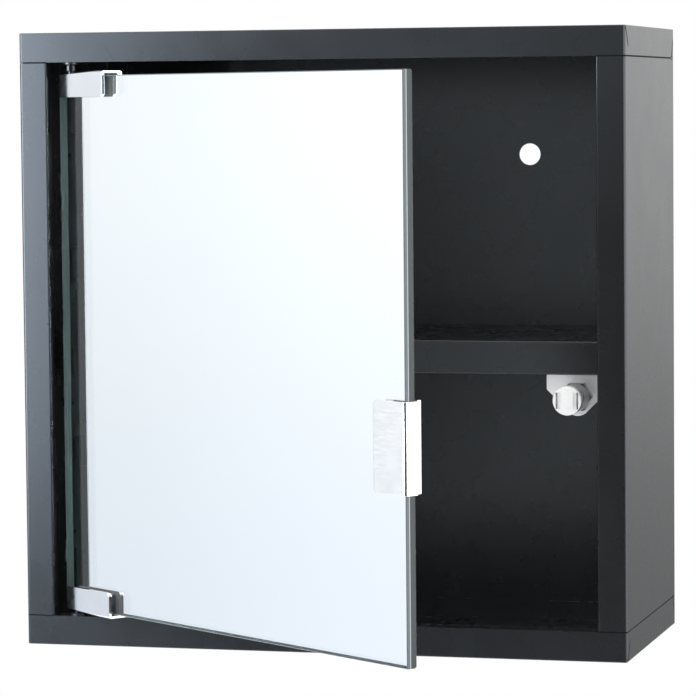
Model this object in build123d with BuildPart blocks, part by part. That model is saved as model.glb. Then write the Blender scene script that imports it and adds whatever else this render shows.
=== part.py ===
from build123d import *
import math
import os

os.makedirs("parts", exist_ok=True)

# Wall-hung sheet-steel cabinet with a pivoting mirror-glass door, one shelf and a magnetic catch.
# Millimetres. +X right, +Y into the wall, +Z up. The origin is midway between the two wall holes,
# on the plane that lies against the wall, so the cabinet runs from y = -CAB_D (front) to y = 0 (back).

# ---------------------------------------------------------------- driving dimensions
CAB_W = 300.0  # outer width
CAB_H = 300.0  # outer height
CAB_D = 130.0  # outer depth
T = 1.0  # sheet thickness
BEND_R = 1.4  # outside radius of the upright bends
RIM_R = 0.5  # outside radius along the caps' outer rims
HOLE_UP = 237.9  # height of the wall holes above the underside
HOLE_SPAN = 153.2  # distance between the wall holes
HOLE_R = 5.5

RAIL_H = 14.3  # height of the top and bottom front rails
STILE_W = 14.0  # width of the side front stiles
STILE_RETURN = 6.0  # depth of the stile's folded return
RAIL_RETURN = 12.0  # depth of the rail's folded return
SEAM = 0.2  # gap left at the sheet seams
TAB_UP = 10.0  # weld tabs behind the cap flanges

SHELF_UP = 151.0  # height of the shelf's upper face above the underside
SHELF_LIP = 16.1
SHELF_SET = 13.2  # how far the shelf lip stands behind the front plane

DOOR_OPEN = 36.3  # degrees the door stands open
PIVOT_X = 25.05  # pivot axis from the left outer face
PIVOT_Y = 5.2  # pivot axis behind the front plane
DOOR_BACKSET = 7.05  # glass edge to pivot axis
DOOR_LEAD = 2.46  # glass front face ahead of the pivot axis
GLASS_W = 264.0
GLASS_LOW = 18.2  # glass lower edge above the underside
GLASS_HIGH = 279.2  # glass upper edge above the underside
GLASS_T = 5.0
BACKING_T = 0.6  # silvering and its protective paint

CLIP_S0, CLIP_S1 = 3.6, 39.5  # clip ends along the glass, from the glass's pivot edge
CLIP_FRONT = 2.1  # clip face ahead of the glass face
CLIP_JAW = 1.6  # front jaw thickness
CLIP_BACK = 9.9  # back of the clip behind the glass face
CLIP_BACK_JAW = 2.5
CLIP_GRIP = 10.5  # how far the jaws reach over the glass
CLIP_RISE = 2.1  # web outside face past the glass edge
CLIP_WEB = 1.2
PIN_R = 2.0
BUSH_BORE_R = 2.05
BUSH_R = 3.5
BUSH_FLANGE_R = 4.0

HANDLE_S0, HANDLE_S1 = 243.3, 265.2
HANDLE_LOW, HANDLE_HIGH = 94.1, 135.1
HANDLE_T = 1.0
LINER_T = 0.2
HANDLE_FRONT_R = 1.6  # outside bend radius between leaf and web
KEEPER_T = 2.4  # thickness of the steel keeper behind the glass
KEEPER_LOW, KEEPER_HIGH = 94.6, 135.7
PIN_COLLAR_R = 3.1
PLAY = 0.3  # axial play between pin collar and bush

CATCH_X = 119.5  # catch axis, from the cabinet's middle plane
CATCH_UP = 122.85  # catch axis above the underside
CATCH_FACE = 9.75  # knob face behind the front plane
KNOB_R = 7.0
KNOB_L = 5.0
STEM_R = 4.0
STEM_BORE_R = 4.05
NUT_AF = 13.0  # across flats
NUT_T = 6.0
PLATE_SET = 36.0  # catch plate's front face behind the front plane
PLATE_T = 1.2
PLATE_HALF = 15.2
LOBE_R = 6.1

# ---------------------------------------------------------------- derived places
Z0 = -HOLE_UP  # underside
Z1 = Z0 + CAB_H  # top
YF = -CAB_D  # front plane
XR = CAB_W / 2  # right outer face, the left one is -XR
Z_TOP_SEAM = Z1 - RAIL_H
Z_BOT_SEAM = Z0 + RAIL_H
Z_SHELF = Z0 + SHELF_UP
Y_LIP = YF + SHELF_SET
PX = -XR + PIVOT_X
PY = YF + PIVOT_Y
GZ0 = Z0 + GLASS_LOW
GZ1 = Z0 + GLASS_HIGH
YB = -2 * T  # front face of the flanges that carry the back panel

# The door's own plane: x along the glass from the pivot axis, y from front to back, z up.
open_rad = math.radians(DOOR_OPEN)
DOOR = Plane(
    origin=(PX, PY, 0),
    x_dir=(math.cos(open_rad), -math.sin(open_rad), 0),
    z_dir=(0, 0, 1),
)
# The upright plane at the back of the clips: x towards the free edge, y up, facing the cabinet's inside
DOOR_BACK = Plane(
    origin=Vector(PX, PY, 0) + DOOR.y_dir * (CLIP_BACK - DOOR_LEAD),
    x_dir=-DOOR.x_dir,
    z_dir=DOOR.y_dir,
)


def box2(x0, x1, y0, y1):
    # one rectangle by its limits, drawn in the open sketch
    with Locations(((x0 + x1) / 2, (y0 + y1) / 2)):
        Rectangle(abs(x1 - x0), abs(y1 - y0))


def s(a):
    # along the glass, from the glass's pivot edge
    return a - DOOR_BACKSET


def n(a):
    # depth on the door, a ahead of the glass face
    return -DOOR_LEAD - a


# ---------------------------------------------------------------- top panel: a folded cap
with BuildPart() as top_panel:
    with BuildSketch(Plane.XY.offset(Z_TOP_SEAM)):
        box2(-XR, XR, YF, 0)
    extrude(amount=RAIL_H)
    fillet(top_panel.edges().filter_by(Axis.Z).group_by(Axis.Y)[0], BEND_R)
    fillet(
        top_panel.edges()
        .group_by(Axis.Z)[-1]
        .filter_by(lambda e: e.center().Y < -0.1),
        RIM_R,
    )
    with BuildSketch(Plane.XY.offset(Z_TOP_SEAM)):
        box2(-XR + T, XR - T, YF + T, 0)
    extrude(amount=RAIL_H - T, mode=Mode.SUBTRACT)
    # folded return under the front rail
    with BuildSketch(Plane.XY.offset(Z_TOP_SEAM)):
        box2(-XR + STILE_W + 0.5, XR - STILE_W - 0.5, YF + T, YF + RAIL_RETURN)
    extrude(amount=T)
    # flange that the back panel is welded to
    with BuildSketch(Plane.XY.offset(Z1 - T - 9)):
        box2(-XR + T, XR - T, YB, -T)
    extrude(amount=9)
    # round hole for the upper pivot bush
    with BuildSketch(Plane.XY.offset(Z_TOP_SEAM)):
        with Locations((PX, PY)):
            Circle(BUSH_R + 0.02)
    extrude(amount=T, mode=Mode.SUBTRACT)
    # slanting corner seams where the flanges' ends were folded in, and a small round relief at each side seam's back end
    for x0 in (-XR - 1, XR - T + 0.3):
        with BuildSketch(Plane.YZ.offset(x0)):
            with Locations((YF + 4.6, Z1 - 5.3)):
                Rectangle(0.3, 11.5, rotation=38)
            with Locations((-2.8, Z1 - 9.6)):
                Rectangle(0.25, 9.8, rotation=-25.3)
            with Locations((-5.1, Z_TOP_SEAM)):
                Circle(0.55)
        extrude(amount=T + 0.7, mode=Mode.SUBTRACT)
top_panel.part.label = "top_panel"

# ---------------------------------------------------------------- bottom panel: the same cap upside down
with BuildPart() as bottom_panel:
    with BuildSketch(Plane.XY.offset(Z0)):
        box2(-XR, XR, YF, 0)
    extrude(amount=RAIL_H)
    fillet(bottom_panel.edges().filter_by(Axis.Z).group_by(Axis.Y)[0], BEND_R)
    fillet(
        bottom_panel.edges()
        .group_by(Axis.Z)[0]
        .filter_by(lambda e: e.center().Y < -0.1),
        RIM_R,
    )
    with BuildSketch(Plane.XY.offset(Z0 + T)):
        box2(-XR + T, XR - T, YF + T, 0)
    extrude(amount=RAIL_H - T, mode=Mode.SUBTRACT)
    with BuildSketch(Plane.XY.offset(Z_BOT_SEAM - T)):
        box2(-XR + STILE_W + 0.5, XR - STILE_W - 0.5, YF + T, YF + RAIL_RETURN)
    extrude(amount=T)
    with BuildSketch(Plane.XY.offset(Z0 + T)):
        box2(-XR + T, XR - T, YB, -T)
    extrude(amount=9)
    with BuildSketch(Plane.XY.offset(Z_BOT_SEAM - T)):
        with Locations((PX, PY)):
            Circle(BUSH_R + 0.02)
    extrude(amount=T, mode=Mode.SUBTRACT)
    for x0 in (-XR - 1, XR - T + 0.3):
        with BuildSketch(Plane.YZ.offset(x0)):
            with Locations((YF + 4.6, Z0 + 5.3)):
                Rectangle(0.3, 11.5, rotation=-38)
            with Locations((-2.8, Z0 + 9.6)):
                Rectangle(0.25, 9.8, rotation=25.3)
            with Locations((-5.1, Z_BOT_SEAM)):
                Circle(0.55)
        extrude(amount=T + 0.7, mode=Mode.SUBTRACT)
bottom_panel.part.label = "bottom_panel"

# ---------------------------------------------------------------- side panels: stile, return, side and back flange in one sheet
ZS0, ZS1 = Z_BOT_SEAM + SEAM, Z_TOP_SEAM - SEAM
with BuildPart() as right_side_panel:
    with BuildSketch(Plane.XY.offset(ZS0)):
        with BuildLine():
            Polyline(
                (XR, 0),
                (XR, YF),
                (XR - STILE_W, YF),
                (XR - STILE_W, YF + STILE_RETURN),
                (XR - STILE_W + T, YF + STILE_RETURN),
                (XR - STILE_W + T, YF + T),
                (XR - T, YF + T),
                (XR - T, YB),
                (XR - 12, YB),
                (XR - 12, -T),
                (XR - T, -T),
                (XR - T, 0),
                close=True,
            )
        make_face()
    extrude(amount=ZS1 - ZS0)
    fillet(
        right_side_panel.edges().filter_by(Axis.Z).group_by(Axis.Y)[0].sort_by(Axis.X)[-1:],
        BEND_R,
    )
    fillet(
        right_side_panel.edges().filter_by(Axis.Z).group_by(Axis.Y)[0].sort_by(Axis.X)[:1],
        0.8,
    )
    # weld tabs behind the cap flanges, top and bottom
    for low in (ZS1 - 5, ZS0 - TAB_UP):
        with BuildSketch(Plane.XY.offset(low)):
            box2(XR - 2 * T, XR - T, YF + 3, -4)
            box2(XR - STILE_W + 1.5, XR - 3, YF + T, YF + 2 * T)
        extrude(amount=TAB_UP + 5)
right_side_panel.part.label = "right_side_panel"

with BuildPart() as left_side_panel:
    with BuildSketch(Plane.XY.offset(ZS0)):
        with BuildLine():
            Polyline(
                (-XR, 0),
                (-XR, YF),
                (-XR + STILE_W, YF),
                (-XR + STILE_W, YF + STILE_RETURN),
                (-XR + STILE_W - T, YF + STILE_RETURN),
                (-XR + STILE_W - T, YF + T),
                (-XR + T, YF + T),
                (-XR + T, YB),
                (-XR + 12, YB),
                (-XR + 12, -T),
                (-XR + T, -T),
                (-XR + T, 0),
                close=True,
            )
        make_face()
    extrude(amount=ZS1 - ZS0)
    fillet(
        left_side_panel.edges().filter_by(Axis.Z).group_by(Axis.Y)[0].sort_by(Axis.X)[:1],
        BEND_R,
    )
    fillet(
        left_side_panel.edges().filter_by(Axis.Z).group_by(Axis.Y)[0].sort_by(Axis.X)[-1:],
        0.8,
    )
    for low in (ZS1 - 5, ZS0 - TAB_UP):
        with BuildSketch(Plane.XY.offset(low)):
            box2(-XR + T, -XR + 2 * T, YF + 3, -4)
            box2(-XR + 3, -XR + STILE_W - 1.5, YF + T, YF + 2 * T)
        extrude(amount=TAB_UP + 5)
left_side_panel.part.label = "left_side_panel"

# ---------------------------------------------------------------- back panel with the two wall holes
with BuildPart() as back_panel:
    with BuildSketch(Plane.XZ):
        box2(-XR + T + 0.1, XR - T - 0.1, Z0 + T + 0.1, Z1 - T - 0.1)
        with Locations((-HOLE_SPAN / 2, 0), (HOLE_SPAN / 2, 0)):
            Circle(HOLE_R, mode=Mode.SUBTRACT)
    extrude(amount=T)
back_panel.part.label = "back_panel"

# ---------------------------------------------------------------- shelf: folded tray, open below
with BuildPart() as shelf:
    with BuildSketch(Plane.YZ.offset(-XR + T + 0.05)):
        with BuildLine():
            Polyline(
                (Y_LIP, Z_SHELF),
                (YB - 0.05, Z_SHELF),
                (YB - 0.05, Z_SHELF - 10),
                (YB - 0.05 - T, Z_SHELF - 10),
                (YB - 0.05 - T, Z_SHELF - T),
                (Y_LIP + T, Z_SHELF - T),
                (Y_LIP + T, Z_SHELF - SHELF_LIP + T),
                (Y_LIP + 9, Z_SHELF - SHELF_LIP + T),
                (Y_LIP + 9, Z_SHELF - SHELF_LIP),
                (Y_LIP, Z_SHELF - SHELF_LIP),
                close=True,
            )
        make_face()
    extrude(amount=CAB_W - 2 * T - 0.1)
    fillet(
        shelf.edges().filter_by(Axis.X).group_by(Axis.Y)[0],
        0.8,
    )
    # end flanges that are welded to the side panels
    for x0, x1 in (
        (-XR + T + 0.05, -XR + 2 * T + 0.05),
        (XR - 2 * T - 0.05, XR - T - 0.05),
    ):
        with BuildSketch(Plane.XY.offset(Z_SHELF - 10)):
            box2(x0, x1, Y_LIP + 12, YB - 6)
        extrude(amount=10 - T / 2)
shelf.part.label = "shelf"

# ---------------------------------------------------------------- pivot bushes in the rail returns
with BuildPart() as upper_pivot_bush:
    with BuildSketch(Plane.XY.offset(Z_TOP_SEAM - T)):
        with Locations((PX, PY)):
            Circle(BUSH_FLANGE_R)
    extrude(amount=T)
    with BuildSketch(Plane.XY.offset(Z_TOP_SEAM)):
        with Locations((PX, PY)):
            Circle(BUSH_R)
    extrude(amount=5)
    chamfer(upper_pivot_bush.edges().group_by(Axis.Z)[-1], 0.5)
    with BuildSketch(Plane.XY.offset(Z_TOP_SEAM - T)):
        with Locations((PX, PY)):
            Circle(BUSH_BORE_R)
    extrude(amount=7, mode=Mode.SUBTRACT)
upper_pivot_bush.part.label = "upper_pivot_bush"

with BuildPart() as lower_pivot_bush:
    with BuildSketch(Plane.XY.offset(Z_BOT_SEAM)):
        with Locations((PX, PY)):
            Circle(BUSH_FLANGE_R)
    extrude(amount=T)
    with BuildSketch(Plane.XY.offset(Z_BOT_SEAM - 6)):
        with Locations((PX, PY)):
            Circle(BUSH_R)
    extrude(amount=6)
    chamfer(lower_pivot_bush.edges().group_by(Axis.Z)[0], 0.5)
    with BuildSketch(Plane.XY.offset(Z_BOT_SEAM - 7)):
        with Locations((PX, PY)):
            Circle(BUSH_BORE_R)
    extrude(amount=9, mode=Mode.SUBTRACT)
lower_pivot_bush.part.label = "lower_pivot_bush"

# ---------------------------------------------------------------- door: glass and its painted backing
with BuildPart() as mirror_glass:
    with BuildSketch(DOOR.offset(GZ0)):
        box2(s(0), s(GLASS_W), n(0), n(-GLASS_T))
    extrude(amount=GZ1 - GZ0)
    chamfer(
        mirror_glass.faces()
        .sort_by(SortBy.AREA)[-2:]
        .edges(),
        0.35,
    )
mirror_glass.part.label = "mirror_glass"

with BuildPart() as mirror_backing:
    with BuildSketch(DOOR.offset(GZ0 + 0.4)):
        box2(s(0.4), s(GLASS_W - 0.4), n(-GLASS_T), n(-GLASS_T - BACKING_T))
    extrude(amount=GZ1 - GZ0 - 0.8)
mirror_backing.part.label = "mirror_backing"

# ---------------------------------------------------------------- hinge clips: U-shaped jaws round the glass edge
SCREW_S = (12.5, 30.5)  # clamp screws along the clip
SLOPE_LOW = 0.4  # slanted front edge past the glass edge at the pivot end
SLOPE_BACK = 4.8  # how far behind the glass face the slant reaches at the pivot end


def slant(edge, rise):
    # plane that cuts the clip's outer front edge, falling towards the pivot end
    low = DOOR.from_local_coords(Vector(s(CLIP_S0), n(CLIP_FRONT), edge + rise * SLOPE_LOW / CLIP_RISE))
    full = DOOR.from_local_coords(Vector(s(CLIP_S1), n(CLIP_FRONT), edge + rise))
    back = DOOR.from_local_coords(Vector(s(CLIP_S0), n(-SLOPE_BACK), edge + rise))
    normal = (full - low).cross(back - low)
    if normal.Z * rise < 0:
        normal = -normal
    return Plane(origin=low, x_dir=full - low, z_dir=normal)


with BuildPart() as upper_hinge_clip:
    with BuildSketch(DOOR.offset(GZ1 - CLIP_GRIP)):
        box2(s(CLIP_S0), s(CLIP_S1), n(CLIP_FRONT), n(-CLIP_BACK))
    extrude(amount=CLIP_GRIP + CLIP_RISE)
    # outside bends between web and jaws
    fillet(
        upper_hinge_clip.edges()
        .filter_by(lambda e: abs(e.tangent_at(0.5).dot(DOOR.x_dir)) > 0.99)
        .group_by(Axis.Z)[-1],
        1.2,
    )
    with BuildSketch(DOOR.offset(GZ1 - CLIP_GRIP)):
        box2(
            s(CLIP_S0) - 1,
            s(CLIP_S1) + 1,
            n(CLIP_FRONT - CLIP_JAW),
            n(-CLIP_BACK + CLIP_BACK_JAW),
        )
    extrude(amount=CLIP_GRIP + CLIP_RISE - CLIP_WEB, mode=Mode.SUBTRACT)
    # jaw corners, rounder at the end away from the pivot
    for r in (0.9, 1.9):
        fillet(
            upper_hinge_clip.edges()
            .filter_by(lambda e: abs(e.tangent_at(0.5).dot(DOOR.y_dir)) > 0.99)
            .group_by(Axis.Z)[0]
            .sort_by(lambda e: e.center().dot(DOOR.x_dir))[-2 if r > 1 else 0 : None if r > 1 else 2],
            r,
        )
    split(bisect_by=slant(GZ1, CLIP_RISE), keep=Keep.BOTTOM)
    with BuildSketch(DOOR.offset(GZ1 + 0.5)):
        Circle(PIN_R + 0.02)
    extrude(amount=CLIP_RISE, mode=Mode.SUBTRACT)
    with BuildSketch(DOOR_BACK):
        with Locations(*[(-s(a), GZ1 - 5.2) for a in SCREW_S]):
            Circle(2.0)
    extrude(amount=-CLIP_BACK_JAW - 1, mode=Mode.SUBTRACT)
upper_hinge_clip.part.label = "upper_hinge_clip"

with BuildPart() as lower_hinge_clip:
    with BuildSketch(DOOR.offset(GZ0 - CLIP_RISE)):
        box2(s(CLIP_S0), s(CLIP_S1), n(CLIP_FRONT), n(-CLIP_BACK))
    extrude(amount=CLIP_GRIP + CLIP_RISE)
    fillet(
        lower_hinge_clip.edges()
        .filter_by(lambda e: abs(e.tangent_at(0.5).dot(DOOR.x_dir)) > 0.99)
        .group_by(Axis.Z)[0],
        1.2,
    )
    with BuildSketch(DOOR.offset(GZ0 - CLIP_RISE + CLIP_WEB)):
        box2(
            s(CLIP_S0) - 1,
            s(CLIP_S1) + 1,
            n(CLIP_FRONT - CLIP_JAW),
            n(-CLIP_BACK + CLIP_BACK_JAW),
        )
    extrude(amount=CLIP_GRIP + CLIP_RISE, mode=Mode.SUBTRACT)
    for r in (0.9, 1.9):
        fillet(
            lower_hinge_clip.edges()
            .filter_by(lambda e: abs(e.tangent_at(0.5).dot(DOOR.y_dir)) > 0.99)
            .group_by(Axis.Z)[-1]
            .sort_by(lambda e: e.center().dot(DOOR.x_dir))[-2 if r > 1 else 0 : None if r > 1 else 2],
            r,
        )
    split(bisect_by=slant(GZ0, -CLIP_RISE), keep=Keep.BOTTOM)
    with BuildSketch(DOOR.offset(GZ0 - CLIP_RISE - 0.5)):
        Circle(PIN_R + 0.02)
    extrude(amount=CLIP_RISE, mode=Mode.SUBTRACT)
    with BuildSketch(DOOR_BACK):
        with Locations(*[(-s(a), GZ0 + 5.2) for a in SCREW_S]):
            Circle(2.0)
    extrude(amount=-CLIP_BACK_JAW - 1, mode=Mode.SUBTRACT)
lower_hinge_clip.part.label = "lower_hinge_clip"

# ---------------------------------------------------------------- pivot pins pressed into the clip webs
with BuildPart() as upper_pivot_pin:
    with BuildSketch(DOOR.offset(GZ1 + 0.5)):
        Circle(PIN_R)
    extrude(amount=Z_TOP_SEAM + 4 - GZ1 - 0.5)
    chamfer(upper_pivot_pin.edges().group_by(Axis.Z)[-1], 0.5)
    with BuildSketch(DOOR.offset(GZ1 + CLIP_RISE)):
        Circle(PIN_COLLAR_R)
    extrude(amount=Z_TOP_SEAM - T - PLAY - GZ1 - CLIP_RISE)
    chamfer(
        upper_pivot_pin.edges().filter_by(GeomType.CIRCLE).filter_by(lambda e: e.radius > 3),
        0.25,
    )
upper_pivot_pin.part.label = "upper_pivot_pin"

with BuildPart() as lower_pivot_pin:
    with BuildSketch(DOOR.offset(Z_BOT_SEAM - 5)):
        Circle(PIN_R)
    extrude(amount=GZ0 - 0.5 - Z_BOT_SEAM + 5)
    chamfer(lower_pivot_pin.edges().group_by(Axis.Z)[0], 0.5)
    with BuildSketch(DOOR.offset(Z_BOT_SEAM + T + PLAY)):
        Circle(PIN_COLLAR_R)
    extrude(amount=GZ0 - CLIP_RISE - Z_BOT_SEAM - T - PLAY)
lower_pivot_pin.part.label = "lower_pivot_pin"

# ---------------------------------------------------------------- soft pads and steel pressure plates inside the clips
PAD_S0, PAD_S1 = CLIP_S0 + 0.8, CLIP_S1 - 0.8
with BuildPart() as hinge_front_pads:
    for low in (GZ1 - CLIP_GRIP + 0.6, GZ0 + 0.6):
        with BuildSketch(DOOR.offset(low)):
            box2(s(PAD_S0), s(PAD_S1), n(CLIP_FRONT - CLIP_JAW), n(0))
        extrude(amount=CLIP_GRIP - 1.2)
hinge_front_pads.part.label = "hinge_front_pads"

with BuildPart() as hinge_back_pads:
    for low in (GZ1 - CLIP_GRIP + 1.0, GZ0 + 1.0):
        with BuildSketch(DOOR.offset(low)):
            box2(s(PAD_S0), s(PAD_S1), n(-GLASS_T - BACKING_T), n(-GLASS_T - BACKING_T - 0.5))
        extrude(amount=CLIP_GRIP - 2)
hinge_back_pads.part.label = "hinge_back_pads"

with BuildPart() as hinge_pressure_plates:
    for low in (GZ1 - CLIP_GRIP + 1.0, GZ0 + 1.0):
        with BuildSketch(DOOR.offset(low)):
            box2(s(PAD_S0), s(PAD_S1), n(-GLASS_T - BACKING_T - 0.5), n(-GLASS_T - BACKING_T - 1.5))
        extrude(amount=CLIP_GRIP - 2)
hinge_pressure_plates.part.label = "hinge_pressure_plates"

# ---------------------------------------------------------------- socket set screws through the back jaws
SCREW_SPOTS = [(-s(a), mid) for a in SCREW_S for mid in (GZ1 - 5.2, GZ0 + 5.2)]
with BuildPart() as hinge_clamp_screws:
    with BuildSketch(DOOR_BACK.offset(0.3)):
        with Locations(*SCREW_SPOTS):
            Circle(1.97)
    extrude(amount=-(CLIP_BACK + 0.3 - GLASS_T - BACKING_T - 1.5))
    with BuildSketch(DOOR_BACK.offset(0.3)):
        with Locations(*SCREW_SPOTS):
            RegularPolygon(1.0, 6, major_radius=False)
    extrude(amount=-1.7, mode=Mode.SUBTRACT)
hinge_clamp_screws.part.label = "hinge_clamp_screws"

# ---------------------------------------------------------------- handle: angle sheet on the face and round the free edge
HF = LINER_T + HANDLE_T  # handle face ahead of the glass face
HB = GLASS_T + BACKING_T + LINER_T  # the web ends here, behind the glass face
with BuildPart() as door_handle:
    with BuildSketch(DOOR.offset(Z0 + HANDLE_LOW)) as handle_outside:
        box2(s(HANDLE_S0), s(HANDLE_S1), n(HF), n(-HB))
        fillet(handle_outside.vertices().sort_by(Axis.Y)[:2].sort_by(Axis.X)[-1], HANDLE_FRONT_R)
    extrude(amount=HANDLE_HIGH - HANDLE_LOW)
    with BuildSketch(DOOR.offset(Z0 + HANDLE_LOW)) as handle_inside:
        box2(s(HANDLE_S0 - 1), s(HANDLE_S1 - HANDLE_T), n(LINER_T), n(-HB - 1))
        fillet(handle_inside.vertices().sort_by(Axis.Y)[:2].sort_by(Axis.X)[-1], HANDLE_FRONT_R - HANDLE_T)
    extrude(amount=HANDLE_HIGH - HANDLE_LOW, mode=Mode.SUBTRACT)
    # rounded corners of the leaf
    fillet(
        door_handle.edges()
        .filter_by(lambda e: abs(e.tangent_at(0.5).dot(DOOR.y_dir)) > 0.99)
        .group_by(lambda e: round(e.center().dot(DOOR.x_dir), 2))[0],
        2.4,
    )
door_handle.part.label = "door_handle"

# adhesive tape between glass, handle and keeper
with BuildPart() as handle_liner:
    with BuildSketch(DOOR.offset(Z0 + HANDLE_LOW + 1)) as liner_outside:
        box2(s(HANDLE_S0 + 2.5), s(HANDLE_S1 - HANDLE_T), n(LINER_T), n(-HB))
        fillet(liner_outside.vertices().sort_by(Axis.Y)[:2].sort_by(Axis.X)[-1], HANDLE_FRONT_R - HANDLE_T)
        box2_inner = (s(HANDLE_S0), s(GLASS_W + 0.05), n(0), n(-GLASS_T - BACKING_T))
        with Locations(((box2_inner[0] + box2_inner[1]) / 2, (box2_inner[2] + box2_inner[3]) / 2)):
            Rectangle(
                box2_inner[1] - box2_inner[0],
                abs(box2_inner[3] - box2_inner[2]),
                mode=Mode.SUBTRACT,
            )
    extrude(amount=HANDLE_HIGH - HANDLE_LOW - 2)
handle_liner.part.label = "handle_liner"

# thick steel keeper behind the glass, which the magnet holds
with BuildPart() as catch_keeper:
    with BuildSketch(DOOR.offset(Z0 + KEEPER_LOW)):
        box2(s(HANDLE_S0 + 0.6), s(HANDLE_S1), n(-HB), n(-HB - KEEPER_T))
    extrude(amount=KEEPER_HIGH - KEEPER_LOW)
    chamfer(
        catch_keeper.faces()
        .sort_by(lambda f: f.center().dot(DOOR.y_dir))[-1]
        .edges(),
        0.4,
    )
catch_keeper.part.label = "catch_keeper"

# ---------------------------------------------------------------- magnetic catch under the shelf
CZ = Z0 + CATCH_UP
YK = YF + CATCH_FACE  # knob face
YP = YF + PLATE_SET  # plate front face
Z_LOBE = Z0 + 119.57
Z_SHOULDER = Z0 + 126.5
AXIS_CATCH = Plane(origin=(CATCH_X, 0, CZ), x_dir=(1, 0, 0), z_dir=(0, 1, 0))
# on this plane x is +X, y is -Z and the offset is y in the cabinet
LEG_L = 18.0
STUDS = ((CATCH_X - 9, YP + 11), (CATCH_X + 9, YP + 11))
with BuildPart() as catch_bracket:
    with BuildSketch(Plane.XZ.offset(-YP)):
        with BuildLine():
            k = LOBE_R / math.sqrt(2)
            drop = PLATE_HALF - k  # sideways run of the 45 degree taper
            Polyline(
                (CATCH_X - k, Z_LOBE - k),
                (CATCH_X - PLATE_HALF, Z_LOBE - k + drop),
                (CATCH_X - PLATE_HALF, Z_SHELF - T),
                (CATCH_X + PLATE_HALF, Z_SHELF - T),
                (CATCH_X + PLATE_HALF, Z_LOBE - k + drop),
                (CATCH_X + k, Z_LOBE - k),
            )
            ThreePointArc(
                (CATCH_X + k, Z_LOBE - k),
                (CATCH_X, Z_LOBE - LOBE_R),
                (CATCH_X - k, Z_LOBE - k),
            )
        make_face()
    extrude(amount=-PLATE_T)
    # fixing leg against the underside of the shelf
    with BuildSketch(Plane.XY.offset(Z_SHELF - T - PLATE_T)):
        box2(CATCH_X - PLATE_HALF, CATCH_X + PLATE_HALF, YP, YP + LEG_L)
    extrude(amount=PLATE_T)
    fillet(
        catch_bracket.edges().filter_by(Axis.X).group_by(Axis.Y)[0].sort_by(Axis.Z)[-1:],
        1.0,
    )
    with BuildSketch(AXIS_CATCH.offset(YP - 1)):
        Circle(STEM_BORE_R)
    extrude(amount=PLATE_T + 2, mode=Mode.SUBTRACT)
    with BuildSketch(Plane.XY.offset(Z_SHELF - T - PLATE_T - 1)):
        with Locations(*STUDS):
            Circle(1.7)
    extrude(amount=PLATE_T + 2, mode=Mode.SUBTRACT)
catch_bracket.part.label = "catch_bracket"

# weld studs under the shelf and the nuts that hold the bracket's leg
with BuildPart() as bracket_studs:
    with BuildSketch(Plane.XY.offset(Z_SHELF - T - 6)):
        with Locations(*STUDS):
            Circle(1.5)
    extrude(amount=6)
    chamfer(bracket_studs.edges().group_by(Axis.Z)[0], 0.3)
bracket_studs.part.label = "bracket_studs"

with BuildPart() as bracket_nuts:
    with BuildSketch(Plane.XY.offset(Z_SHELF - T - PLATE_T - 2.4)):
        with Locations(*STUDS):
            RegularPolygon(2.75, 6, major_radius=False)
    extrude(amount=2.4)
    with BuildSketch(Plane.XY.offset(Z_SHELF - T - PLATE_T - 3)):
        with Locations(*STUDS):
            Circle(1.52)
    extrude(amount=4, mode=Mode.SUBTRACT)
bracket_nuts.part.label = "bracket_nuts"

# hexagonal lock nut in front of the plate, a corner pointing sideways
with BuildPart() as catch_lock_nut:
    with BuildSketch(AXIS_CATCH.offset(YP - NUT_T)):
        RegularPolygon(NUT_AF / 2, 6, major_radius=False)
    extrude(amount=NUT_T)
    with BuildSketch(AXIS_CATCH.offset(YP - NUT_T)):
        Circle(NUT_AF / 2 + 0.25)
    extrude(amount=NUT_T, taper=-20, mode=Mode.INTERSECT)
    with BuildSketch(AXIS_CATCH.offset(YP - NUT_T - 1)):
        Circle(STEM_BORE_R)
    extrude(amount=NUT_T + 2, mode=Mode.SUBTRACT)
catch_lock_nut.part.label = "catch_lock_nut"

# stem that screws through the nut and the plate, and carries the knob
with BuildPart() as catch_stem:
    with BuildSketch(AXIS_CATCH.offset(YK + KNOB_L - 1.5)):
        Circle(STEM_R)
    extrude(amount=YP + 12 - (YK + KNOB_L - 1.5))
    chamfer(catch_stem.edges().group_by(Axis.Y)[-1], 0.7)
catch_stem.part.label = "catch_stem"

SLOT_IN, SLOT_OUT, SLOT_H = 3.0, 5.5, 7.8
with BuildPart() as catch_knob:
    with BuildSketch(AXIS_CATCH.offset(YK)):
        Circle(KNOB_R)
    extrude(amount=KNOB_L)
    fillet(catch_knob.edges().group_by(Axis.Y)[0], 0.6)
    chamfer(catch_knob.edges().group_by(Axis.Y)[-1], 0.3)
    # two upright slots where the pole plates show
    with BuildSketch(AXIS_CATCH.offset(YK)):
        for side in (-1, 1):
            with Locations((side * (SLOT_IN + SLOT_OUT) / 2, 0)):
                Rectangle(SLOT_OUT - SLOT_IN, SLOT_H)
    extrude(amount=3.2, mode=Mode.SUBTRACT)
    # sealed pocket for the magnet, open into the slots
    with BuildSketch(AXIS_CATCH.offset(YK + 0.9)):
        Rectangle(2 * SLOT_IN + 0.1, SLOT_H)
    extrude(amount=2.3, mode=Mode.SUBTRACT)
    with BuildSketch(AXIS_CATCH.offset(YK + KNOB_L - 1.5)):
        Circle(STEM_BORE_R)
    extrude(amount=2, mode=Mode.SUBTRACT)
catch_knob.part.label = "catch_knob"

with BuildPart() as catch_magnet:
    with BuildSketch(AXIS_CATCH.offset(YK + 0.95)):
        Rectangle(2 * SLOT_IN - 0.02, SLOT_H - 0.1)
    extrude(amount=2.2)
catch_magnet.part.label = "catch_magnet"

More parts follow.
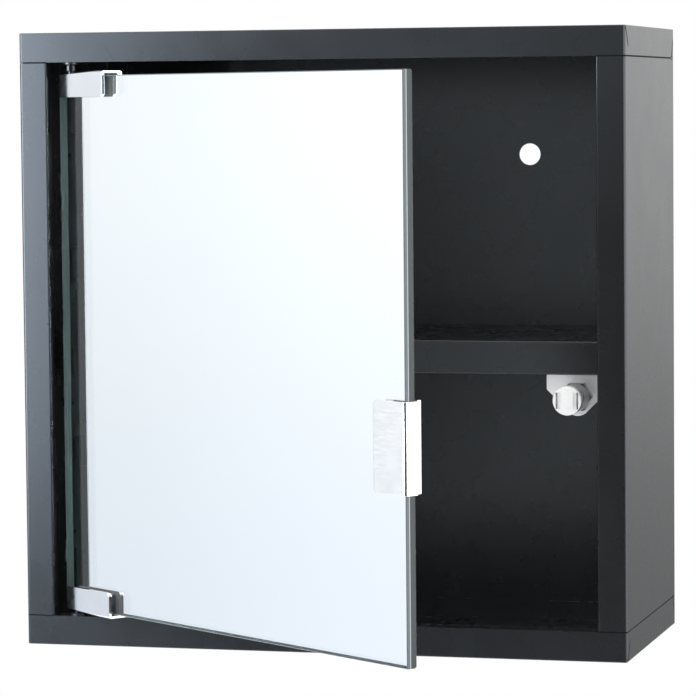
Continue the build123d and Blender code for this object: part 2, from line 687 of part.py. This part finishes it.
with BuildPart() as catch_pole_plates:
    with BuildSketch(AXIS_CATCH.offset(YK + 0.45)):
        for side in (-1, 1):
            with Locations((side * (SLOT_IN + 0.8), 0)):
                Rectangle(1.58, SLOT_H - 0.1)
    extrude(amount=2.7)
catch_pole_plates.part.label = "catch_pole_plates"

for made in (
    top_panel,
    bottom_panel,
    left_side_panel,
    right_side_panel,
    back_panel,
    shelf,
    upper_pivot_bush,
    lower_pivot_bush,
    mirror_glass,
    mirror_backing,
    upper_hinge_clip,
    lower_hinge_clip,
    upper_pivot_pin,
    lower_pivot_pin,
    hinge_front_pads,
    hinge_back_pads,
    hinge_pressure_plates,
    hinge_clamp_screws,
    door_handle,
    handle_liner,
    catch_keeper,
    catch_bracket,
    bracket_studs,
    bracket_nuts,
    catch_lock_nut,
    catch_stem,
    catch_knob,
    catch_magnet,
    catch_pole_plates,
):
    export_step(made.part, f"parts/{made.part.label}.step")
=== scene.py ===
import math

import bpy
from mathutils import Matrix, Vector

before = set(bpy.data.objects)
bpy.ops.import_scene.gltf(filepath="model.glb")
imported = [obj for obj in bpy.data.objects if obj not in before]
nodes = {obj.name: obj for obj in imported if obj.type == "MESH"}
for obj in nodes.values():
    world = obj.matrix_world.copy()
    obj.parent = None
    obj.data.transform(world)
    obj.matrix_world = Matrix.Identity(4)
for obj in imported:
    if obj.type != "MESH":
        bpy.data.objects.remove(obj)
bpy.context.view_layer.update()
scene = bpy.context.scene

# the door's own directions at rest
OPEN = math.radians(36.3)
ALONG = Vector((math.cos(OPEN), -math.sin(OPEN), 0.0))
BACK = Vector((math.sin(OPEN), math.cos(OPEN), 0.0))


# ---------------------------------------------------------------- node helpers
class Mat:
    def __init__(self, name):
        self.m = bpy.data.materials.new(name)
        self.m.use_nodes = True
        self.t = self.m.node_tree
        self.b = self.t.nodes["Principled BSDF"]
        self.co = None

    def new(self, kind, **props):
        nd = self.t.nodes.new(kind)
        for k, v in props.items():
            setattr(nd, k, v)
        return nd

    def plug(self, value, socket):
        if isinstance(value, bpy.types.NodeSocket):
            self.t.links.new(value, socket)
        else:
            socket.default_value = value

    def coords(self):
        if self.co is None:
            self.co = self.new("ShaderNodeTexCoord").outputs["Object"]
        return self.co

    def stretch(self, sx, sy, sz, rz=0.0):
        mp = self.new("ShaderNodeMapping")
        mp.inputs["Scale"].default_value = (sx, sy, sz)
        mp.inputs["Rotation"].default_value = (0.0, 0.0, rz)
        self.t.links.new(self.coords(), mp.inputs["Vector"])
        return mp.outputs["Vector"]

    def noise(self, scale, detail=3.0, rough=0.55, vec=None, distortion=0.0):
        nd = self.new("ShaderNodeTexNoise")
        self.t.links.new(vec or self.coords(), nd.inputs["Vector"])
        nd.inputs["Scale"].default_value = scale
        nd.inputs["Detail"].default_value = detail
        nd.inputs["Roughness"].default_value = rough
        nd.inputs["Distortion"].default_value = distortion
        return nd.outputs["Fac"]

    def voronoi(self, scale, vec=None, feature="F1", randomness=1.0):
        nd = self.new("ShaderNodeTexVoronoi", feature=feature)
        self.t.links.new(vec or self.coords(), nd.inputs["Vector"])
        nd.inputs["Scale"].default_value = scale
        nd.inputs["Randomness"].default_value = randomness
        return nd.outputs["Distance"]

    def span(self, value, a, b, x, y, smooth=True):
        nd = self.new("ShaderNodeMapRange", interpolation_type="SMOOTHSTEP" if smooth else "LINEAR")
        self.plug(value, nd.inputs["Value"])
        nd.inputs["From Min"].default_value = a
        nd.inputs["From Max"].default_value = b
        nd.inputs["To Min"].default_value = x
        nd.inputs["To Max"].default_value = y
        return nd.outputs["Result"]

    def math(self, op, a, b=0.0, clamp=False):
        nd = self.new("ShaderNodeMath", operation=op, use_clamp=clamp)
        self.plug(a, nd.inputs[0])
        self.plug(b, nd.inputs[1])
        return nd.outputs[0]

    def mix(self, fac, a, b):
        nd = self.new("ShaderNodeMix", data_type="RGBA")
        self.plug(fac, nd.inputs[0])
        for value, socket in ((a, nd.inputs[6]), (b, nd.inputs[7])):
            if isinstance(value, bpy.types.NodeSocket):
                self.t.links.new(value, socket)
            else:
                socket.default_value = (*value, 1.0)
        return nd.outputs[2]

    def bump(self, height, strength, distance, normal=None):
        nd = self.new("ShaderNodeBump")
        self.plug(height, nd.inputs["Height"])
        nd.inputs["Strength"].default_value = strength
        nd.inputs["Distance"].default_value = distance
        if normal is not None:
            self.t.links.new(normal, nd.inputs["Normal"])
        return nd.outputs["Normal"]

    def rounded(self, radius):
        nd = self.new("ShaderNodeBevel", samples=6)
        nd.inputs["Radius"].default_value = radius
        return nd.outputs["Normal"]

    def set(self, **values):
        for k, v in values.items():
            socket = self.b.inputs[k.replace("_", " ")]
            if isinstance(v, tuple) and len(v) == 3:
                v = (*v, 1.0)
            self.plug(v, socket)
        return self


# ---------------------------------------------------------------- materials
def cabinet_paint():
    p = Mat("black_satin_paint")
    peel = p.noise(760.0, 1.0, 0.5)
    smear = p.noise(9.0, 3.0, 0.5)
    haze = p.noise(38.0, 3.0, 0.6)
    tone = p.mix(p.span(smear, 0.3, 0.7, 0.0, 1.0), (0.0042, 0.0045, 0.0051), (0.0056, 0.0060, 0.0067))
    # sparse specks of dust that settle on the paint
    dust = p.voronoi(95.0)
    speck = p.math("MULTIPLY", p.span(dust, 0.035, 0.055, 1.0, 0.0), p.span(p.noise(16.0, 2.0), 0.70, 0.76, 0.0, 0.22))
    tone = p.mix(speck, tone, (0.22, 0.22, 0.22))
    rough = p.math("ADD", p.span(haze, 0.25, 0.75, 0.262, 0.285), p.span(smear, 0.3, 0.75, -0.003, 0.006))
    rough = p.math("ADD", rough, p.math("MULTIPLY", speck, 0.3))
    normal = p.bump(peel, 0.006, 0.0006)
    # seams between the folded sheets: painted shade, a dark line standing in for the shade inside the gap
    xyz = p.new("ShaderNodeSeparateXYZ")
    p.t.links.new(p.coords(), xyz.inputs[0])
    px, py, pz = xyz.outputs
    side = p.span(p.math("ABSOLUTE", px), 0.1480, 0.1486, 0.0, 1.0)
    front = p.math("MULTIPLY", p.span(py, -0.1292, -0.1288, 1.0, 0.0), p.span(p.math("ABSOLUTE", px), 0.1358, 0.1362, 0.0, 1.0))
    outer = p.math("MAXIMUM", side, front)
    seam_shade = 0.0
    for level in (0.0477, -0.2235):
        far = p.math("ABSOLUTE", p.math("SUBTRACT", pz, level))
        line = p.math("MULTIPLY", p.span(far, 0.00022, 0.00055, 0.85, 0.0), outer)
        seam_shade = line if seam_shade == 0.0 else p.math("MAXIMUM", seam_shade, line)
        # painted shade: a round dark dot at the relief hole at the seam's back end
        dot = p.new("ShaderNodeVectorMath", operation="DISTANCE")
        flat = p.new("ShaderNodeCombineXYZ")
        p.t.links.new(py, flat.inputs["Y"])
        p.t.links.new(pz, flat.inputs["Z"])
        p.t.links.new(flat.outputs[0], dot.inputs[0])
        dot.inputs[1].default_value = (0.0, -0.0051, level)
        seam_shade = p.math("MAXIMUM", seam_shade, p.math("MULTIPLY", p.span(dot.outputs["Value"], 0.0008, 0.0014, 0.95, 0.0), side))
    # painted shade along the slanting corner seams where the caps' flanges were folded in
    top, low = 0.0621, -0.2379
    for cy, cz, length, turn in (
        (-0.1254, top - 0.0053, 0.0115, 38.0),
        (-0.0028, top - 0.0096, 0.0098, -25.3),
        (-0.1254, low + 0.0053, 0.0115, -38.0),
        (-0.0028, low + 0.0096, 0.0098, 25.3),
    ):
        a = math.radians(turn)
        across = p.math("ADD", p.math("MULTIPLY", py, math.cos(a)), p.math("MULTIPLY", pz, math.sin(a)))
        across = p.math("ABSOLUTE", p.math("SUBTRACT", across, cy * math.cos(a) + cz * math.sin(a)))
        run = p.math("ADD", p.math("MULTIPLY", py, -math.sin(a)), p.math("MULTIPLY", pz, math.cos(a)))
        run = p.math("ABSOLUTE", p.math("SUBTRACT", run, -cy * math.sin(a) + cz * math.cos(a)))
        line = p.math("MULTIPLY", p.span(across, 0.00045, 0.0011, 0.8, 0.0), p.span(run, length * 0.47, length * 0.52, 1.0, 0.0))
        seam_shade = p.math("MAXIMUM", seam_shade, p.math("MULTIPLY", line, side))
    # painted shade: the seam mask darkens the base colour, roughens it and takes the specular level down
    tone = p.mix(seam_shade, tone, (0.0025, 0.0025, 0.0028))
    rough = p.math("ADD", rough, p.math("MULTIPLY", seam_shade, 0.4))
    p.set(
        Base_Color=tone,
        Roughness=rough,
        IOR=1.5,
        Specular_Tint=(0.88, 0.95, 1.0),
        Normal=normal,
        Specular_IOR_Level=p.span(seam_shade, 0.0, 1.0, 0.58, 0.02, smooth=False),
    )
    return p.m


def glass():
    p = Mat("clear_glass")
    smear = p.noise(14.0, 4.0, 0.6, p.stretch(1.0, 1.0, 0.35))
    p.set(
        Base_Color=p.mix(smear, (0.985, 0.995, 0.992), (0.992, 1.0, 0.997)),
        Transmission_Weight=1.0,
        IOR=1.52,
        Roughness=p.span(smear, 0.55, 0.8, 0.0, 0.006),
    )
    return p.m


def glass_edge():
    # ground edge of the glass: fine scratches along the edge, greenish
    p = Mat("ground_glass_edge")
    grit = p.noise(1400.0, 2.0, 0.6)
    run = p.noise(240.0, 3.0, 0.6, p.stretch(1.0, 1.0, 0.12))
    where = p.new("ShaderNodeSeparateXYZ")
    p.t.links.new(p.coords(), where.inputs[0])
    tone = p.mix(p.span(run, 0.3, 0.7, 0.0, 1.0), (0.020, 0.028, 0.029), (0.030, 0.040, 0.041))
    # depth behind the glass face: ground arris first, a painted highlight line, then the darker flat of the edge
    deep = p.new("ShaderNodeVectorMath", operation="DOT_PRODUCT")
    p.t.links.new(p.coords(), deep.inputs[0])
    deep.inputs[1].default_value = BACK
    face = Vector((-0.12495, -0.1248, 0.0)).dot(BACK) - 0.00246
    depth = p.math("SUBTRACT", deep.outputs["Value"], face)
    tone = p.mix(p.span(depth, 0.0014, 0.0017, 1.0, 0.0), tone, (0.085, 0.098, 0.108))
    # painted highlight: a light line where the arris meets the flat of the edge
    edge_highlight = p.math("MULTIPLY", p.span(depth, 0.0015, 0.0018, 0.0, 1.0), p.span(depth, 0.0020, 0.0023, 1.0, 0.0))
    tone = p.mix(edge_highlight, tone, (0.30, 0.33, 0.34))
    # painted light: the pivot edge is painted a lighter green, standing in for light seen through the glass body from
    # inside
    tone = p.mix(p.span(where.outputs["X"], -0.12, 0.06, 1.0, 0.0), tone, (0.095, 0.135, 0.125))
    p.set(
        Base_Color=tone,
        Roughness=p.span(run, 0.3, 0.7, 0.16, 0.28),
        Normal=p.bump(grit, 0.05, 0.0002),
        IOR=1.52,
        Specular_IOR_Level=0.3,
    )
    return p.m


def silver():
    p = Mat("silvering")
    cloud = p.noise(7.0, 3.0, 0.5)
    p.set(
        Base_Color=p.mix(cloud, (0.93, 0.945, 0.95), (0.955, 0.965, 0.968)),
        Metallic=1.0,
        Roughness=p.span(p.noise(25.0, 2.0), 0.2, 0.8, 0.0, 0.008),
    )
    return p.m


def backing():
    p = Mat("mirror_back_paint")
    orange = p.noise(900.0, 2.0, 0.5)
    drift = p.noise(6.0, 4.0, 0.6, p.stretch(1.0, 1.0, 0.3))
    tone = p.mix(p.span(drift, 0.3, 0.7, 0.0, 1.0), (0.69, 0.70, 0.71), (0.73, 0.74, 0.75))
    scuff = p.span(p.noise(160.0, 3.0, 0.7, p.stretch(1.0, 1.0, 0.06)), 0.66, 0.74, 0.0, 0.25)
    p.set(
        Base_Color=p.mix(scuff, tone, (0.62, 0.63, 0.64)),
        Roughness=p.span(drift, 0.25, 0.75, 0.42, 0.55),
        Normal=p.bump(orange, 0.08, 0.0004),
    )
    return p.m


def metal(name, light, dark, rough, grain, anis=0.0, bump=0.02, specks=0.3, round_r=0.0003):
    p = Mat(name)
    cloud = p.noise(60.0, 3.0, 0.55)
    fine = p.noise(420.0, 3.0, 0.6, p.stretch(*grain))
    tone = p.mix(p.span(cloud, 0.3, 0.7, 0.0, 1.0), light, dark)
    pit = p.span(p.noise(1500.0, 2.0, 0.6), 0.7, 0.8, 0.0, specks)
    p.set(
        Base_Color=p.mix(pit, tone, tuple(c * 0.55 for c in dark)),
        Metallic=1.0,
        Roughness=p.math("ADD", p.span(fine, 0.2, 0.8, rough[0], rough[1]), p.math("MULTIPLY", pit, 0.12)),
        Normal=p.bump(fine, bump, 0.0003, p.rounded(round_r)),
    )
    return p.m


def plastic(name, light, dark, rough, bump=0.05, scale=700.0, sss=0.0):
    p = Mat(name)
    cloud = p.noise(110.0, 3.0, 0.55)
    fine = p.noise(scale, 2.0, 0.5)
    p.set(
        Base_Color=p.mix(p.span(cloud, 0.3, 0.7, 0.0, 1.0), light, dark),
        Roughness=p.span(p.noise(190.0, 2.0), 0.25, 0.75, rough[0], rough[1]),
        Normal=p.bump(fine, bump, 0.0003, p.rounded(0.0002)),
        IOR=1.49,
    )
    if sss:
        p.set(Subsurface_Weight=sss, Subsurface_Scale=0.001)
    return p.m


looks = {
    "cabinet_paint": cabinet_paint(),
    "mirror": glass(),
    "backing": backing(),
    "chrome": metal("chrome_plate", (0.80, 0.81, 0.83), (0.76, 0.775, 0.80), (0.10, 0.16), (1, 1, 1), bump=0.015, specks=0.15),
    "polished_steel": metal("polished_sheet_steel", (0.80, 0.79, 0.775), (0.76, 0.75, 0.735), (0.14, 0.22), (0.25, 0.25, 2.5), bump=0.03, specks=0.2),
    "pin_steel": metal("turned_dark_steel", (0.034, 0.035, 0.038), (0.022, 0.023, 0.025), (0.16, 0.26), (0.4, 0.4, 3.0), bump=0.04),
    "zinc_steel": metal("zinc_plated_steel", (0.93, 0.935, 0.94), (0.87, 0.875, 0.885), (0.34, 0.46), (1, 1, 1), bump=0.05),
    "dark_steel": metal("grey_plated_steel", (0.52, 0.525, 0.53), (0.40, 0.405, 0.41), (0.28, 0.40), (1, 1, 1), bump=0.05),
    "bush_plastic": plastic("bush_plastic_black", (0.020, 0.020, 0.022), (0.014, 0.014, 0.016), (0.14, 0.24)),
    "pad": plastic("soft_pad_grey", (0.16, 0.165, 0.17), (0.12, 0.125, 0.13), (0.6, 0.75), 0.12),
    "liner": plastic("liner_tape_white", (0.72, 0.72, 0.70), (0.64, 0.64, 0.62), (0.5, 0.62), 0.08),
    "white_plastic": plastic("white_catch_plastic", (0.80, 0.81, 0.79), (0.76, 0.77, 0.75), (0.26, 0.34), 0.04),
    "magnet": plastic("ferrite_dark", (0.045, 0.043, 0.042), (0.03, 0.029, 0.028), (0.5, 0.65), 0.15),
}
silvering = silver()

for name, node in nodes.items():
    for ms in node.material_slots:
        key = ms.material.name.split(".")[0] if ms.material else "cabinet_paint"
        if key in looks:
            ms.material = looks[key]
# the catch keeper is plainer steel than the handle before it
nodes["catch_keeper"].material_slots[0].material = metal("keeper_steel", (0.60, 0.605, 0.61), (0.54, 0.545, 0.55), (0.20, 0.30), (0.25, 0.25, 2.5), bump=0.03, specks=0.2)

# the silver layer lies between the glass and its painted back
mesh = nodes["mirror_glass"].data
mesh.materials.append(silvering)
for poly in mesh.polygons:
    if poly.normal.dot(BACK) > 0.99:
        poly.material_index = len(mesh.materials) - 1
# the rim faces of the painted back are coloured dark
mesh = nodes["mirror_backing"].data
rim = plastic("backing_rim", (0.030, 0.031, 0.033), (0.020, 0.021, 0.023), (0.45, 0.6), 0.08)
mesh.materials.append(rim)
for poly in mesh.polygons:
    if abs(poly.normal.dot(BACK)) < 0.99:
        poly.material_index = len(mesh.materials) - 1
# the paint stands a hair off the silver, so that the two faces don't fall together
thin = nodes["mirror_backing"].modifiers.new("hair_gap", "DISPLACE")
thin.strength = -0.00005
thin.mid_level = 0.0
# every face of the glass and its paint is plane, so each takes its own plane's normal
for name in ("mirror_glass", "mirror_backing"):
    mesh = nodes[name].data
    own = [None] * len(mesh.loops)
    for poly in mesh.polygons:
        for i in poly.loop_indices:
            own[i] = tuple(poly.normal)
    mesh.normals_split_custom_set(own)
mesh = nodes["mirror_glass"].data
mesh.materials.append(glass_edge())
for poly in mesh.polygons:
    if abs(poly.normal.dot(BACK)) < 0.99:
        poly.material_index = len(mesh.materials) - 1


# ---------------------------------------------------------------- floor
def disc(name, radius, z, count=128):
    mesh = bpy.data.meshes.new(name)
    ring = [(radius * math.cos(a), radius * math.sin(a), z) for a in (2 * math.pi * i / count for i in range(count))]
    mesh.from_pydata(ring, [], [list(range(count))])
    o = bpy.data.objects.new(name, mesh)
    scene.collection.objects.link(o)
    return o


floor = disc("floor", 1.55, -0.62)
fm = Mat("pale_floor")
fm.set(
    Base_Color=fm.mix(fm.noise(3.0, 4.0, 0.6), (0.78, 0.785, 0.79), (0.82, 0.825, 0.83)),
    Roughness=fm.span(fm.noise(12.0, 3.0), 0.2, 0.8, 0.6, 0.75),
    Normal=fm.bump(fm.noise(240.0, 3.0), 0.05, 0.001),
)
floor.data.materials.append(fm.m)

# ---------------------------------------------------------------- studio surroundings
world = bpy.data.worlds.new("studio")
scene.world = world
world.use_nodes = True
wt = world.node_tree
wt.nodes.clear()


def wnew(kind, **props):
    nd = wt.nodes.new(kind)
    for k, v in props.items():
        setattr(nd, k, v)
    return nd


def wplug(value, socket):
    if isinstance(value, bpy.types.NodeSocket):
        wt.links.new(value, socket)
    else:
        socket.default_value = value


def wmath(op, a, b=0.0, c=0.0):
    nd = wnew("ShaderNodeMath", operation=op)
    wplug(a, nd.inputs[0])
    wplug(b, nd.inputs[1])
    wplug(c, nd.inputs[2])
    return nd.outputs[0]


def wspan(value, a, b, x, y):
    nd = wnew("ShaderNodeMapRange", interpolation_type="SMOOTHSTEP")
    wplug(value, nd.inputs["Value"])
    for key, v in (("From Min", a), ("From Max", b), ("To Min", x), ("To Max", y)):
        wplug(v, nd.inputs[key])
    return nd.outputs["Result"]


def wtint(value, colour):
    nd = wnew("ShaderNodeVectorMath", operation="SCALE")
    nd.inputs[0].default_value = colour
    wplug(value, nd.inputs["Scale"])
    return nd.outputs[0]


def wadd(a, b):
    nd = wnew("ShaderNodeVectorMath", operation="ADD")
    wt.links.new(a, nd.inputs[0])
    wt.links.new(b, nd.inputs[1])
    return nd.outputs[0]


way = wnew("ShaderNodeTexCoord").outputs["Generated"]
parts = wnew("ShaderNodeSeparateXYZ")
wt.links.new(way, parts.inputs[0])
dx, dy, dz = parts.outputs


def lobe(direction, a, b):
    nd = wnew("ShaderNodeVectorMath", operation="DOT_PRODUCT")
    wt.links.new(way, nd.inputs[0])
    nd.inputs[1].default_value = Vector(direction).normalized()
    return wspan(nd.outputs["Value"], a, b, 0.0, 1.0)


def wtriple(r, g, b):
    nd = wnew("ShaderNodeCombineXYZ")
    for value, socket in zip((r, g, b), nd.inputs):
        wplug(value, socket)
    return nd.outputs[0]


def wscale(vec, value):
    nd = wnew("ShaderNodeVectorMath", operation="SCALE")
    wt.links.new(vec, nd.inputs[0])
    wplug(value, nd.inputs["Scale"])
    return nd.outputs[0]


AMBIENT = 0.06
left = wtriple(
    wspan(dz, -0.15, 0.01, 0.79, 0.965),
    wspan(dz, -0.15, 0.01, 0.845, 1.0),
    wspan(dz, -0.15, 0.01, 0.92, 1.035),
)
left = wscale(left, wmath("MULTIPLY", lobe((-1.0, 0.0, 0.0), 0.80, 0.94), wspan(dy, 0.055, -0.065, 0.93, 1.09)))
rear = wmath("MULTIPLY", lobe((0.25, 0.968, 0.0), 0.72, 0.93), wspan(dz, -0.16, 0.05, 0.24, 1.10))
right = wmath("MULTIPLY", lobe((1.0, 0.12, 0.0), 0.55, 0.88), 1.6)
above = wspan(dz, 0.25, 0.75, 0.0, 1.15)
below = wspan(dz, -0.3, -0.8, 0.0, 0.45)
total = wadd(wtint(AMBIENT, (1.0, 1.0, 1.0)), left)
ahead = wmath("MULTIPLY", lobe((0.0, -1.0, 0.0), 0.80, 0.96), wspan(dz, -0.02, 0.16, 0.0, 1.15))
for value in (rear, right, above, below, ahead):
    total = wadd(total, wtint(value, (1.0, 1.0, 1.0)))
soft = wnew("ShaderNodeBackground")
wt.links.new(total, soft.inputs["Color"])
plain = wnew("ShaderNodeBackground")
plain.inputs["Color"].default_value = (1.0, 1.0, 1.0, 1.0)
both = wnew("ShaderNodeMixShader")
wt.links.new(wnew("ShaderNodeLightPath").outputs["Is Camera Ray"], both.inputs[0])
wt.links.new(soft.outputs[0], both.inputs[1])
wt.links.new(plain.outputs[0], both.inputs[2])
wt.links.new(both.outputs[0], wnew("ShaderNodeOutputWorld").inputs["Surface"])


def softbox(name, where, at, size, radiance, colour=(1.0, 1.0, 1.0), spread=math.pi):
    data = bpy.data.lights.new(name, "AREA")
    data.shape = "RECTANGLE"
    data.size, data.size_y = size
    data.energy = radiance * math.pi * size[0] * size[1]
    data.color = colour
    data.spread = spread
    o = bpy.data.objects.new(name, data)
    scene.collection.objects.link(o)
    o.location = where
    aim = Vector(at) - Vector(where)
    o.rotation_euler = aim.to_track_quat("-Z", "Y").to_euler()
    o.visible_camera = False
    return o


softbox("front_left_box", (-0.64, -0.70, 0.10), (-0.14, -0.13, -0.04), (0.54, 0.76), 15.5, (0.82, 0.89, 1.0))
softbox("overhead_box", (0.1, -0.5, 1.3), (0.0, -0.1, -0.1), (1.4, 1.2), 1.6)
softbox("right_box", (0.98, -0.05, -0.02), (0.06, -0.24, -0.09), (0.6, 0.7), 1.7)
softbox("front_right_box", (1.45, -1.15, 0.35), (0.08, -0.08, -0.08), (1.2, 1.3), 2.9)

# ---------------------------------------------------------------- camera, solved from the photograph's edges
F_PX, YAW, PITCH, ROLL = 3546.398, -0.263996, 0.069289, -0.009222
T_MM = (-157.9012, 145.8690, 1750.2840)
EYE_SHIFT = Vector((0.150, 0.130, 0.2379))


def turn_x(a):
    return Matrix(((1, 0, 0), (0, math.cos(a), -math.sin(a)), (0, math.sin(a), math.cos(a))))


def turn_z(a):
    return Matrix(((math.cos(a), -math.sin(a), 0), (math.sin(a), math.cos(a), 0), (0, 0, 1)))


to_cam = turn_z(ROLL) @ turn_x(PITCH) @ Matrix(((1, 0, 0), (0, 0, -1), (0, 1, 0))) @ turn_z(YAW)
inv = to_cam.transposed()
eye = -(inv @ Vector([v / 1000 for v in T_MM])) - EYE_SHIFT
look = Matrix((inv.col[0], -inv.col[1], -inv.col[2])).transposed().to_4x4()
cam_data = bpy.data.cameras.new("camera")
cam_data.sensor_fit = "HORIZONTAL"
cam_data.sensor_width = 36.0
cam_data.lens = F_PX * 36.0 / 696.0
cam_data.clip_start = 0.05
cam_data.clip_end = 50.0
cam = bpy.data.objects.new("camera", cam_data)
scene.collection.objects.link(cam)
cam.matrix_world = Matrix.Translation(eye) @ look
scene.camera = cam

scene.view_settings.view_transform = "Standard"
scene.view_settings.look = "None"
scene.view_settings.exposure = 0.0
scene.view_settings.gamma = 1.0
